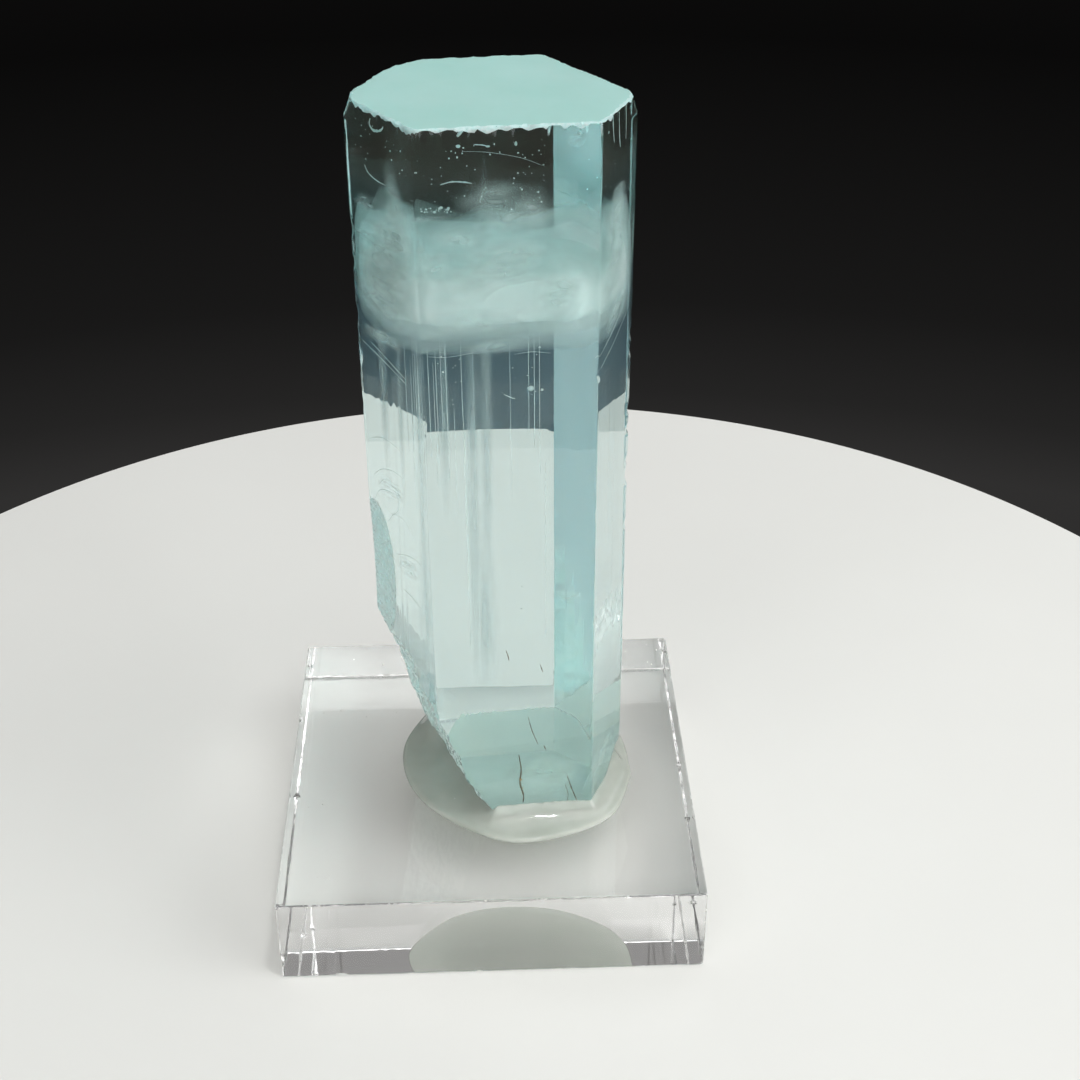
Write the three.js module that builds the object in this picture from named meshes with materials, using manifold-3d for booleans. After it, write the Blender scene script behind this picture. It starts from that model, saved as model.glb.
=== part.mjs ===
// An aquamarine crystal set in a puddle of clear glue on a small acrylic display block.
// Millimetres, +Z up. The origin is the centre of the block's underside.

import * as THREE from 'three';
import { mergeVertices } from 'three/addons/utils/BufferGeometryUtils.js';
import Module from 'manifold-3d';

const wasm = await Module();
wasm.setup();

// Display block: a sawn square with its edges just broken.
const blockSide = 30;
const blockHeight = 7;
const blockBevel = 0.12;

// Crystal: a six-sided prism. Each face is given by its distance from the axis, going round
// anticlockwise from the front face, and the front face looks along -Y, turned by prismTurn.
const crystalAxis = [1.0, -0.55];
const crystalTop = 59.2;
const glueFilm = 0.3;
const crystalFoot = blockHeight + glueFilm;
const prismTurn = THREE.MathUtils.degToRad(4.5);
const faceDistances = [6.26, 8.27, 6.9, 6.82, 7.72, 7.46];

// Glue: an oval puddle that thins to a rounded rim and climbs the crystal's foot.
const puddleOutline = [
  [10.7, -2.5], [10.3, 1.8], [8.6, 5.6], [5.0, 8.8], [0.8, 9.6], [-2.8, 8.2], [-5.2, 5.0],
  [-6.6, 1.2], [-5.9, -3.1], [-3.2, -6.7], [1.2, -9.3], [5.6, -8.8], [9.1, -6.6],
];
const puddleCentre = [2.1, -1.6];
const puddleSides = 64;
const puddleRim = 0.35;
const puddleHeight = 1.5;
const glueGap = 0.3;

// Behind the crystal the glue is heaped against its faces: how high, how far out it falls away,
// and the stretch from front to back over which the heap grows.
const heapHeight = 3.2;
const heapReach = 1.3;
const heapGrows = [0.5, 4.5];

// Breaks in the crystal. Each is a rough slab whose face lies at "at" and looks along "into". The
// face is scooped deepest at "scoopAt" along the slab, and rippled.
const breaks = [
  // the lower left corner, broken away on a slant down to the foot
  {
    at: [-5.2, -1.9, 15.2],
    into: [0.864, 0.35, 0.37],
    size: [26, 34],
    cells: [18, 22],
    ripple: 0.16,
    scoop: 0.95,
    scoopAt: -4.2,
    scoopReach: 8,
  },
  // the corner at the right of the foot
  {
    at: [9.1, -1.9, 8.5],
    into: [-0.72, -0.12, 0.66],
    size: [10, 10],
    cells: [8, 8],
    ripple: 0.1,
    scoop: 0.6,
    scoopAt: 0,
    scoopReach: 4,
  },
];
const slabDepth = 14;

// A shallow spall down the left edge of the front left face, above the big break. Its radii are
// its depth, its width and its height.
const spall = { at: [-7.3, -1.7, 26.0], radii: [0.3, 2.1, 5.6], face: 5, sides: [40, 28] };

// Chips along the top rim: how far round the rim, from corner to corner, and how wide.
const rimChips = [
  [0.0, 0.5], [0.22, 0.3], [0.47, 0.36], [0.78, 0.28], [1.02, 0.55], [1.5, 0.25], [1.98, 0.6],
  [2.45, 0.28], [3.0, 0.45], [3.6, 0.3], [4.0, 0.62], [4.5, 0.26], [4.97, 0.5], [5.4, 0.3], [5.7, 0.34],
];

// The direction that a prism face looks in, from +X.
function faceAngle(face) {
  return prismTurn + THREE.MathUtils.degToRad(60 * face - 90);
}

// Corners of a prism section whose faces stand "grow" outside the crystal's own.
function prismCorners(grow) {
  const lines = faceDistances.map((distance, face) => {
    const angle = faceAngle(face);
    return { x: Math.cos(angle), y: Math.sin(angle), d: distance + grow };
  });
  return lines.map((next, face) => {
    const last = lines[(face + 5) % 6];
    const cross = last.x * next.y - last.y * next.x;
    const x = (last.d * next.y - next.d * last.y) / cross;
    const y = (last.x * next.d - next.x * last.d) / cross;
    return new THREE.Vector2(crystalAxis[0] + x, crystalAxis[1] + y);
  });
}

function toSolid(geometry) {
  const bare = geometry.clone();
  bare.deleteAttribute('normal');
  bare.deleteAttribute('uv');
  const merged = mergeVertices(bare, 1e-4);
  const mesh = new wasm.Mesh({
    numProp: 3,
    vertProperties: new Float32Array(merged.attributes.position.array),
    triVerts: new Uint32Array(merged.index.array),
  });
  return new wasm.Manifold(mesh);
}

function toGeometry(solid) {
  const mesh = solid.getMesh();
  const geometry = new THREE.BufferGeometry();
  geometry.setAttribute('position', new THREE.BufferAttribute(mesh.vertProperties, 3));
  geometry.setIndex(new THREE.BufferAttribute(mesh.triVerts, 1));
  geometry.computeVertexNormals();
  return geometry;
}

function prism(grow, foot, top) {
  const outline = new THREE.Shape(prismCorners(grow));
  const geometry = new THREE.ExtrudeGeometry(outline, { depth: top - foot, bevelEnabled: false });
  geometry.translate(0, 0, foot);
  return toSolid(geometry);
}

// How far a break's face stands off its plane: a scoop, and the ripples of shell fracture.
function breakRelief(damage, u, v) {
  const far = Math.min(Math.hypot(u - damage.scoopAt, v) / damage.scoopReach, 1);
  const scoop = damage.scoop * (1 - far * far);
  const rings = Math.sin(1.1 * Math.hypot(u - 3, v + 6));
  const steps = 0.5 * Math.sin(2.3 * u + 0.7 * v);
  return scoop + damage.ripple * (rings + steps);
}

// A block that takes away everything outside a break; "back" draws its face out of the crystal.
function breakSlab(damage, back) {
  const [width, height] = damage.size;
  const geometry = new THREE.BoxGeometry(width, height, slabDepth, ...damage.cells, 1);
  const points = geometry.attributes.position;
  for (let i = 0; i < points.count; i += 1) {
    if (points.getZ(i) > 0) {
      points.setZ(i, points.getZ(i) + breakRelief(damage, points.getX(i), points.getY(i)));
    }
  }
  geometry.translate(0, 0, -slabDepth / 2 - back);
  const up = new THREE.Vector3(0, 0, 1);
  const into = new THREE.Vector3(...damage.into).normalize();
  geometry.applyQuaternion(new THREE.Quaternion().setFromUnitVectors(up, into));
  geometry.translate(...damage.at);
  return toSolid(geometry);
}

function spallScoop() {
  const geometry = new THREE.SphereGeometry(1, spall.sides[0], spall.sides[1]);
  geometry.scale(...spall.radii);
  geometry.rotateZ(faceAngle(spall.face));
  geometry.translate(...spall.at);
  return toSolid(geometry);
}

function rimChip([along, width]) {
  const corners = prismCorners(0);
  const from = corners[Math.floor(along) % 6];
  const to = corners[Math.floor(along + 1) % 6];
  const place = from.clone().lerp(to, along - Math.floor(along));
  const geometry = new THREE.IcosahedronGeometry(width, 1);
  geometry.rotateX(along * 2);
  geometry.translate(place.x, place.y, crystalTop + 0.55 * width);
  return toSolid(geometry);
}

function makeCrystal() {
  let solid = prism(0, crystalFoot, crystalTop);
  for (const damage of breaks) {
    solid = solid.subtract(breakSlab(damage, 0));
  }
  solid = solid.subtract(spallScoop());
  for (const chip of rimChips) {
    solid = solid.subtract(rimChip(chip));
  }
  return toGeometry(solid);
}

// The space that the glue leaves free for the crystal's foot.
function footSpace() {
  let solid = prism(glueGap, crystalFoot, crystalFoot + 20);
  for (const damage of breaks) {
    solid = solid.subtract(breakSlab(damage, glueGap));
  }
  return solid;
}

// Height of the glue above the block at a share of the way out to its rim.
function glueHeight(share) {
  const climb = Math.max(0, 1 - share / 0.88);
  return puddleRim + (puddleHeight - puddleRim) * climb ** 1.3;
}

// How far a point lies outside the crystal's foot.
function footDistance(x, y) {
  const past = faceDistances.map((distance, face) => {
    const angle = faceAngle(face);
    return (x - crystalAxis[0]) * Math.cos(angle) + (y - crystalAxis[1]) * Math.sin(angle) - distance;
  });
  const [corner] = breaks;
  const run = corner.into[0] * (x - corner.at[0]) + corner.into[1] * (y - corner.at[1]);
  const drop = corner.into[2] * (crystalFoot - corner.at[2]);
  return Math.max(...past, -(run + drop) / Math.hypot(corner.into[0], corner.into[1]));
}

// How much the heap behind the crystal adds to the glue's height.
function heapUp(x, y) {
  const far = footDistance(x, y);
  const grown = THREE.MathUtils.smoothstep(y, ...heapGrows);
  return heapHeight * grown * Math.exp(-Math.max(far, 0) / heapReach) * THREE.MathUtils.smoothstep(far, -2, -0.3);
}

function makeGlue() {
  const outline = new THREE.CatmullRomCurve3(
    puddleOutline.map(([x, y]) => new THREE.Vector3(x, y, 0)),
    true,
  );
  const reach = outline.getPoints(720).map((point) => {
    const x = point.x - puddleCentre[0];
    const y = point.y - puddleCentre[1];
    return { angle: Math.atan2(y, x), distance: Math.hypot(x, y) };
  });
  const profile = [[0, 0], [0.985, 0], [1, 0.1], [0.988, 0.26]];
  for (const share of [0.96, 0.9, 0.85, 0.8, 0.75, 0.7, 0.6, 0.5, 0.4]) {
    profile.push([share, glueHeight(share)]);
  }
  profile.push([0, glueHeight(0.4)]);
  const geometry = new THREE.LatheGeometry(profile.map((p) => new THREE.Vector2(...p)), puddleSides);
  geometry.rotateX(Math.PI / 2);
  const points = geometry.attributes.position;
  for (let i = 0; i < points.count; i += 1) {
    const share = Math.hypot(points.getX(i), points.getY(i));
    const angle = Math.atan2(points.getY(i), points.getX(i));
    const facing = (spot) => Math.cos(spot.angle - angle);
    const nearest = reach.reduce((best, spot) => (facing(spot) > facing(best) ? spot : best));
    const distance = share * nearest.distance;
    const x = puddleCentre[0] + distance * Math.cos(angle);
    const y = puddleCentre[1] + distance * Math.sin(angle);
    const heap = points.getZ(i) > 0 ? heapUp(x, y) * Math.min((1 - share) / 0.15, 1) : 0;
    points.setXYZ(i, x, y, points.getZ(i) + heap);
  }
  geometry.translate(0, 0, blockHeight);
  return toGeometry(toSolid(geometry).subtract(footSpace()));
}

function makeBlock() {
  const half = blockSide / 2 - blockBevel;
  const outline = new THREE.Shape();
  outline.moveTo(-half, -half);
  outline.lineTo(half, -half);
  outline.lineTo(half, half);
  outline.lineTo(-half, half);
  outline.closePath();
  const geometry = new THREE.ExtrudeGeometry(outline, {
    depth: blockHeight - 2 * blockBevel,
    bevelThickness: blockBevel,
    bevelSize: blockBevel,
    bevelSegments: 1,
  });
  geometry.translate(0, 0, blockBevel);
  return geometry;
}

function named(name, geometry, colour, roughness, opacity) {
  const material = new THREE.MeshStandardMaterial({
    color: new THREE.Color(...colour),
    roughness,
    metalness: 0,
    transparent: true,
    opacity,
  });
  const mesh = new THREE.Mesh(geometry, material);
  mesh.name = name;
  return mesh;
}

const specimen = new THREE.Group();
specimen.add(named('display_block', makeBlock(), [0.93, 0.95, 0.95], 0.03, 0.3));
specimen.add(named('glue_pad', makeGlue(), [0.82, 0.85, 0.84], 0.12, 0.6));
specimen.add(named('aquamarine_crystal', makeCrystal(), [0.5, 0.78, 0.76], 0.06, 0.7));

export default specimen;
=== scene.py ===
import bpy
import math
import random
import numpy as np
from mathutils import Matrix, Vector, noise


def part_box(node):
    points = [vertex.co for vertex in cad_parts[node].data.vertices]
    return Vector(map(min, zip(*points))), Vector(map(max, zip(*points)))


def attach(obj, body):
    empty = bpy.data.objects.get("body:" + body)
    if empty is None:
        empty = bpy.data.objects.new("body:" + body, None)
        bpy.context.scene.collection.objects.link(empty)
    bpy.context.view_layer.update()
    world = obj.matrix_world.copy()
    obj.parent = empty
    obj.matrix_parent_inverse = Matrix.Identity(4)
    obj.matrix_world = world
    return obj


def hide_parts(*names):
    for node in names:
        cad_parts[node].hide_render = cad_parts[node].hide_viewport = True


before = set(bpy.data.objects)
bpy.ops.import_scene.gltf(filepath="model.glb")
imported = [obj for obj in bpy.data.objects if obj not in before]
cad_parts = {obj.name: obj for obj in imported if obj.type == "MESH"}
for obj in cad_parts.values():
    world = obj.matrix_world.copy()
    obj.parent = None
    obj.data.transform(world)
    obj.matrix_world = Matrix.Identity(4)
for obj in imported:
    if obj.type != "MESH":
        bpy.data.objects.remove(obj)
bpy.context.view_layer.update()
mm = 0.001  # sizes below are in millimetres, Blender's are in metres
print("frame loaded")


class Wire:
    # one output socket, so that shader maths reads like ordinary sums
    def __init__(self, graph, socket):
        self.graph = graph
        self.socket = socket

    def maths(self, operation, *values):
        return self.graph.node("ShaderNodeMath", {"operation": operation}, dict(enumerate(values)))

    def __add__(self, other):
        return self.maths("ADD", self, other)

    def __rsub__(self, other):
        return self.maths("SUBTRACT", other, self)

    def __mul__(self, other):
        return self.maths("MULTIPLY", self, other)

    __radd__ = __add__
    __rmul__ = __mul__


class Graph:
    # the nodes of a material or of the world
    def __init__(self, name, holder=None):
        self.holder = holder or bpy.data.materials.new(name)
        self.holder.use_nodes = True
        self.tree = self.holder.node_tree
        self.tree.nodes.clear()

    def node(self, kind, settings=None, values=None, out=0):
        made = self.tree.nodes.new(kind)
        for key, value in (settings or {}).items():
            if key == "stops":
                setStops(made.color_ramp, value)
            else:
                setattr(made, key, value)
        for key, value in (values or {}).items():
            if isinstance(value, Wire):
                self.tree.links.new(value.socket, made.inputs[key])
            else:
                made.inputs[key].default_value = value
        return Wire(self, made.outputs[out])

    def place(self, stretch=(1, 1, 1)):
        # the point on the piece in millimetres, squeezed or stretched along each axis
        point = self.node("ShaderNodeTexCoord", out="Object")
        scale = [share / mm for share in stretch]
        return self.node("ShaderNodeVectorMath", {"operation": "MULTIPLY"}, {0: point, 1: scale})

    def grain(self, scale, detail=3, rough=0.55, stretch=(1, 1, 1), warp=0):
        values = {"Vector": self.place(stretch), "Scale": scale, "Detail": detail, "Roughness": rough,
                  "Distortion": warp}
        return self.node("ShaderNodeTexNoise", {}, values)

    def ramp(self, factor, *stops):
        return self.node("ShaderNodeValToRGB", {"stops": stops}, {"Fac": factor})

    def blend(self, one, other):
        # two tones multiplied together
        settings = {"data_type": "RGBA", "blend_type": "MULTIPLY"}
        return self.node("ShaderNodeMix", settings, {0: 1.0, 6: one, 7: other}, out=2)

    def bump(self, height, strength, depth=0.02):
        values = {"Height": height, "Strength": strength, "Distance": depth * mm}
        return self.node("ShaderNodeBump", {}, values)

    def solid(self, **values):
        named = {key.replace("_", " "): value for key, value in values.items()}
        return self.node("ShaderNodeBsdfPrincipled", {}, named)

    def fade(self, factor, shader):
        # a shader that covers only part of what lies behind it
        clear = self.node("ShaderNodeBsdfTransparent")
        return self.node("ShaderNodeMixShader", {}, {0: factor, 1: clear, 2: shader})

    def finish(self, surface, volume=None):
        out = self.tree.nodes.new("ShaderNodeOutputMaterial")
        self.tree.links.new(surface.socket, out.inputs["Surface"])
        if volume is not None:
            self.tree.links.new(volume.socket, out.inputs["Volume"])
        return self.holder


def setStops(ramp, stops):
    for index, (position, shade) in enumerate(stops):
        if index < 2:
            stop = ramp.elements[index]
            stop.position = position
        else:
            stop = ramp.elements.new(position)
        stop.color = (shade, shade, shade, 1) if isinstance(shade, (int, float)) else (*shade, 1)


view = {
    "place": (0.44, -99.2, 91.5),
    "pitch": -33.06,  # degrees above level
    "turn": -2.02,  # degrees to the left of +Y
    "roll": -0.21,
    "lens": 56.2,
}

studio = {
    "floorCentre": (1.1, -1.9),
    "floorRadius": 72,
    "floorEdge": 0.6,
    "floorTone": (0.685, 0.69, 0.665),
    "boxes": [
        # name, side, place, power
        ("soft box", 480, (150, 40, 410), 1.08),
        ("front fill", 560, (-110, -420, 250), 1.72),
        ("side fill", 400, (400, -220, 150), 1.85),
        ("small lamp", 34, (70, -80, 420), 0.3),
    ],
    # how bright the dark room is, from straight down to straight up
    "room": [
        (0, 0.022), (0.25, 0.029), (0.265, 0.018), (0.29, 0.0095), (0.36, 0.003), (0.5, 0.008),
        (0.62, 0.1), (0.75, 0.16), (0.88, 0.17), (1, 0.35),
    ],
    "roomTint": (1.0, 0.97, 0.95, 1),
}


def addCamera():
    lens = bpy.data.cameras.new("camera")
    lens.lens = view["lens"]
    lens.sensor_width = 36
    lens.clip_start = 0.001
    lens.clip_end = 20
    camera = bpy.data.objects.new("camera", lens)
    camera.location = Vector(view["place"]) * mm
    turn = Matrix.Rotation(math.radians(view["turn"]), 4, "Z")
    tilt = Matrix.Rotation(math.radians(90 + view["pitch"]), 4, "X")
    roll = Matrix.Rotation(math.radians(view["roll"]), 4, "Z")
    camera.rotation_euler = (turn @ tilt @ roll).to_euler()
    bpy.context.scene.collection.objects.link(camera)
    bpy.context.scene.camera = camera


def addObject(name, mesh):
    made = bpy.data.objects.new(name, mesh)
    bpy.context.scene.collection.objects.link(made)
    return made


def meshFrom(name, points, faces, smooth=True):
    # points in millimetres
    mesh = bpy.data.meshes.new(name)
    mesh.from_pydata((np.asarray(points, float) * mm).tolist(), [], faces)
    mesh.update()
    if smooth:
        mesh.shade_smooth()
    return mesh


def addPiece(name, mesh, materials, stands=None):
    piece = addObject(name, mesh)
    for material in materials:
        piece.data.materials.append(material)
    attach(piece, "root")
    if stands:
        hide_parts(stands)
    return piece


def matteFloor():
    g = Graph("matt white turntable")
    cloudy = g.grain(0.05, 2)
    tone = g.ramp(cloudy, (0.3, [c * 0.985 for c in studio["floorTone"]]), (0.7, studio["floorTone"]))
    return g.finish(g.solid(Base_Color=tone, Roughness=0.75, Specular_IOR_Level=0.15))


def addFloor():
    cx, cy = studio["floorCentre"]
    radius = studio["floorRadius"]
    steps = 256
    points = []
    for ring, z in ((radius - studio["floorEdge"], -0.02), (radius, -0.5), (radius, -6)):
        for k in range(steps):
            a = 2 * math.pi * k / steps
            points.append((cx + ring * math.cos(a), cy + ring * math.sin(a), z))
    faces = [list(range(steps))]
    for r in range(2):
        for k in range(steps):
            n = (k + 1) % steps
            faces.append([r * steps + k, (r + 1) * steps + k, (r + 1) * steps + n, r * steps + n])
    floor = addObject("turntable", meshFrom("turntable", points, faces, smooth=False))
    floor.data.materials.append(matteFloor())


def addLights():
    for name, side, place, power in studio["boxes"]:
        lamp = bpy.data.lights.new(name, "AREA")
        lamp.shape = "SQUARE"
        lamp.size = side * mm
        lamp.energy = power
        light = addObject(name, lamp)
        light.location = Vector(place) * mm
        light.rotation_euler = (-light.location).to_track_quat("-Z", "Y").to_euler()
    world = bpy.data.worlds.new("dark room")
    g = Graph("dark room", world)
    up = g.node("ShaderNodeSeparateXYZ", {}, {0: g.node("ShaderNodeTexCoord", out="Generated")}, out="Z")
    tone = g.ramp(up * 0.5 + 0.5, *studio["room"])
    back = g.node("ShaderNodeBackground", {}, {"Color": g.blend(tone, studio["roomTint"])})
    out = g.tree.nodes.new("ShaderNodeOutputWorld")
    g.tree.links.new(back.socket, out.inputs["Surface"])
    world.cycles.sampling_method = "NONE"
    bpy.context.scene.world = world


addCamera()
addFloor()
addLights()
print("camera, floor and light placed")


crystal = {
    "turn": 4.5,  # degrees that the front face is turned from -Y
    "faces": (6.26, 8.27, 6.9, 6.82, 7.72, 7.46),  # distance of each face from the axis, front face first
    "step": 0.17,  # spacing of the points round the prism
    "rowStep": 0.27,
    "edgeRound": 0.10,  # wear along the upright edges
    # how worn each corner is at the very top, from the front left round to the left
    "topRound": {0: 0.3, 1: 0.25, 2: 0.9, 3: 0.3, 4: 2.0, 5: 1.3},
    "seed": 11,  # of the growth lines
    "ior": 1.577,
    "tint": (0.2, 0.955, 0.965),  # what a millimetre lets through, in the ratio of its colours
    "tintDensity": 4.0,
    "skin": (0.87, 0.985, 0.98),  # the faces' own share of the tint
    "satinFace": 4,  # the frosted face at the back left
    # its tone at shares of the crystal's height: painted light and shade, darker through the middle and
    # lighter towards the top
    "satin": [(0.2, (0.42, 0.66, 0.70)), (0.4, (0.35, 0.56, 0.62)), (0.68, (0.33, 0.54, 0.61)),
              (0.78, (0.48, 0.74, 0.78)), (0.88, (0.62, 0.84, 0.86)), (0.97, (0.80, 0.98, 0.96))],
    "grooves": [
        # face, place along it, half width, depth, lowest and highest point
        (3, 5.2, 0.25, 0.02, 12, 50), (3, 4.6, 0.16, 0.012, 12, 50), (3, 6.4, 0.14, 0.01, 20, 40),
        (0, 2.6, 0.14, 0.012, 22, 40), (3, 7.2, 0.16, 0.008, 20, 48), (3, 2.0, 0.2, 0.008, 15, 48),
    ],
    "nicks": [
        # corner, height, half height, depth
        (2, 38.0, 0.5, 0.35), (2, 36.5, 0.35, 0.4), (2, 33.0, 0.8, 0.5), (2, 34.1, 0.4, 0.35),
        (2, 43.6, 0.5, 0.3), (2, 42.4, 0.4, 0.3), (2, 29.0, 0.4, 0.25), (0, 42.2, 0.5, 0.04),
        (0, 38.9, 0.7, 0.04), (0, 28.8, 0.9, 0.05), (0, 31.0, 0.7, 0.04), (1, 43.0, 0.3, 0.2),
        (1, 24.0, 0.3, 0.15), (5, 50.9, 0.7, 0.2), (5, 48.6, 0.5, 0.2), (5, 45.0, 0.9, 0.25),
        (3, 35.0, 0.4, 0.2), (4, 40.0, 0.5, 0.3),
    ],
}

# the crystal's finishes, in the order that its faces number them
clearSide, crustedRim, brokenFace, frostedTop, satinSide, groundFoot = range(6)

# Rough slabs broken away: each face lies at "at" and looks along "into"; it is scooped and rippled.
breaks = {
    "corner": {
        "at": (-5.2, -1.9, 15.2), "into": (0.864, 0.35, 0.37), "size": (26, 34), "cell": 0.18,
        "ripple": 0.16, "scoop": 0.95, "scoopAt": -4.2, "scoopReach": 8, "grit": 0.2,
    },
    "foot": {
        "at": (9.1, -1.9, 8.5), "into": (-0.72, -0.12, 0.66), "size": (10, 10), "cell": 0.14,
        "ripple": 0.1, "scoop": 0.6, "scoopAt": 0, "scoopReach": 4, "grit": 0.06,
    },
}
slabDepth = 14
spall = {
    "at": (-7.3, -1.7, 26.0), "radii": (0.3, 2.1, 5.6),  # depth, width and height
    "face": 5, "rows": 60, "around": 72, "grit": 0.02,
}


def faceTurn(face):
    return math.radians(crystal["turn"] + 60 * face - 90)


def outward(face):
    return np.array([math.cos(faceTurn(face)), math.sin(faceTurn(face))])


def prismCorners(grow=0):
    # corners of the six-sided section about its own axis
    corners = []
    for face in range(6):
        (ax, ay), (bx, by) = outward(face - 1), outward(face)
        ad, bd = crystal["faces"][face - 1] + grow, crystal["faces"][face] + grow
        cross = ax * by - ay * bx
        corners.append(((ad * by - bd * ay) / cross, (ax * bd - bx * ad) / cross))
    return np.array(corners)


crystalLow, crystalHigh = (np.array(corner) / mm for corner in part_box("aquamarine_crystal"))
crystalAxis = crystalLow[:2] - prismCorners().min(0)
crystalFoot, crystalTop = crystalLow[2], crystalHigh[2]
print("crystal axis", crystalAxis.round(2))


def smoothstep(low, high, x):
    t = np.clip((x - low) / (high - low), 0, 1)
    return t * t * (3 - 2 * t)


def noiseAt(points, seed=0, octaves=3):
    aside = Vector((seed * 7.1, 0, 0))
    return np.array([noise.fractal(Vector(point) + aside, 0.9, 2.1, octaves) for point in points])


def tintVolume(g):
    values = {"Color": (*crystal["tint"], 1), "Density": crystal["tintDensity"]}
    return g.node("ShaderNodeVolumeAbsorption", {}, values)


def clearBeryl():
    # polished by nature, with a few smeared patches
    g = Graph("clear beryl")
    smear = g.ramp(g.grain(0.5, 2, 0.6, (1, 1, 0.3)), (0.6, 0.0), (0.8, 0.05))
    surface = g.solid(Base_Color=(*crystal["skin"], 1), Roughness=smear, IOR=crystal["ior"],
                      Transmission_Weight=1.0)
    return g.finish(surface, tintVolume(g))


def crustedBeryl():
    # bruised rim: a whitish sugary crust
    g = Graph("crusted beryl")
    sugar = g.grain(5, 5, 0.65)
    tone = g.ramp(sugar, (0.3, (0.62, 0.82, 0.80)), (0.65, (0.93, 0.99, 0.98)))
    surface = g.solid(Base_Color=tone, Roughness=g.ramp(sugar, (0.3, 0.25), (0.7, 0.6)), IOR=crystal["ior"],
                      Transmission_Weight=0.55, Normal=g.bump(sugar, 0.8, 0.12))
    return g.finish(surface, tintVolume(g))


def brokenBeryl():
    # shell fracture: glossy ripples with a frosted bloom
    g = Graph("broken beryl")
    chips = g.grain(1.6, 6, 0.62)
    tone = g.ramp(g.grain(0.8, 4), (0.35, (0.73, 0.79, 0.76)), (0.65, (0.86, 0.90, 0.87)))
    dull = g.ramp(chips, (0.35, 0.15), (0.7, 0.45))
    surface = g.solid(Base_Color=tone, Roughness=dull, IOR=crystal["ior"], Transmission_Weight=0.35,
                      Normal=g.bump(chips, 0.12, 0.1))
    return g.finish(surface, tintVolume(g))


def frostedBeryl():
    # the flat top: an even, finely etched skin with a few scratches
    g = Graph("frosted beryl top")
    etch = g.grain(14, 3)
    scratch = g.ramp(g.grain(1.1, 5, 0.6, (0.25, 3.2, 1), 1.5), (0.68, 0.0), (0.72, 1.0))
    tone = g.ramp(g.grain(0.25, 3), (0.3, (0.41, 0.65, 0.60)), (0.7, (0.46, 0.68, 0.64)))
    surface = g.solid(Base_Color=tone, Roughness=0.5 + 0.2 * scratch, IOR=crystal["ior"],
                      Transmission_Weight=0.3, Normal=g.bump(etch + 0.6 * scratch, 0.2, 0.01))
    return g.finish(surface, tintVolume(g))


def groundBeryl():
    # the end that sits in the glue: evenly ground
    g = Graph("ground beryl foot")
    tone = g.ramp(g.grain(0.6, 3), (0.3, (0.90, 1, 0.93)), (0.7, (0.97, 1, 0.96)))
    surface = g.solid(Base_Color=tone, Roughness=0.5, IOR=crystal["ior"], Transmission_Weight=0.05,
                      Normal=g.bump(g.grain(6, 3), 0.1, 0.01))
    return g.finish(surface, tintVolume(g))


def satinBeryl():
    # the etched back left face: heavy upright striations, frosted between
    g = Graph("satin beryl")
    lines = g.grain(3.2, 5, 0.6, (1, 1, 0.04))
    bloom = g.grain(0.5, 4, 0.6, (1, 1, 0.35))
    tone = g.ramp(bloom, (0.3, (0.85, 0.87, 0.89)), (0.7, (1, 1, 1)))
    up = g.node("ShaderNodeSeparateXYZ", {}, {0: g.place()}, out="Z")
    # the height ramp is painted light and shade: the face is darker through the middle and lighter towards
    # the top
    tone = g.blend(tone, g.ramp(up * (1 / crystalTop), *crystal["satin"]))
    surface = g.solid(Base_Color=tone, Roughness=g.ramp(bloom, (0.3, 0.45), (0.7, 0.6)), IOR=crystal["ior"],
                      Transmission_Weight=0.55, Normal=g.bump(lines, 0.4, 0.02))
    return g.finish(surface, tintVolume(g))


def growthLines(face, width):
    # upright grooves on one face: place along it, half width, depth, and how high they run
    rng = random.Random(crystal["seed"] + face)
    lines = []
    for _ in range(int(width * 4)):
        reach = rng.uniform(4, 30)
        middle = rng.uniform(crystalFoot, crystalTop)
        lines.append((rng.uniform(0, width), rng.uniform(0.14, 0.3), rng.uniform(0.0005, 0.0035),
                      middle - reach, middle + reach))
    return lines + [line[1:] for line in crystal["grooves"] if line[0] == face]


def relief(lines, along, z):
    # how far a face is pushed out at each point
    out = np.zeros_like(along)
    for at, half, depth, low, high in lines:
        tall = smoothstep(low - 1.5, low, z) * (1 - smoothstep(high, high + 1.5, z))
        out -= depth * np.exp(-((along - at) / half) ** 2) * tall
    return out


def edgeWear(corner, z):
    # how worn a corner is at a height
    wear = crystal["edgeRound"] + 0.2 * max(0, noise.noise((corner * 7.3, 0.9 * z, 0)) - 0.25)
    wear += 0.06 * abs(noise.noise((corner * 3.1, 3.7 * z, 5)))
    for at, height, half, depth in crystal["nicks"]:
        if at == corner:
            wear += depth * max(0, 1 - ((z - height) / half) ** 2)
    return wear + crystal["topRound"][corner] * float(smoothstep(crystalTop - 1.6, crystalTop, z)) ** 2


def chipsAlong(seed, length, count, wide, deep):
    # a run of little chips along an edge, as a function of the distance along it
    rng = random.Random(seed)
    chips = []
    for _ in range(count):
        chips.append((rng.uniform(0, length), rng.uniform(*wide), rng.uniform(*deep) * rng.uniform(0.3, 1)))

    def bite(along):
        out = np.zeros_like(along)
        for at, half, depth in chips:
            out = np.maximum(out, depth * np.sqrt(np.clip(1 - ((along - at) / half) ** 2, 0, 1)))
        return out
    return bite


def sectionColumns():
    # points round the prism: place, outward direction, face, distance along the face and its width
    corners = prismCorners()
    fine = [0, 0.03, 0.07, 0.12, 0.18, 0.26, 0.37, 0.52]
    step = crystal["step"]
    columns = []
    for face in range(6):
        start, end = corners[face], corners[(face + 1) % 6]
        width = np.linalg.norm(end - start)
        middle = np.arange(fine[-1] + step, width - fine[-1] - step / 2, step)
        for along in fine + middle.tolist() + [width - f for f in reversed(fine[1:])]:
            push = outward(face)
            if along == 0:
                push = (push + outward(face - 1)) / 1.5
            columns.append((start + (end - start) * along / width, push, face, along, width))
    return columns


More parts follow.
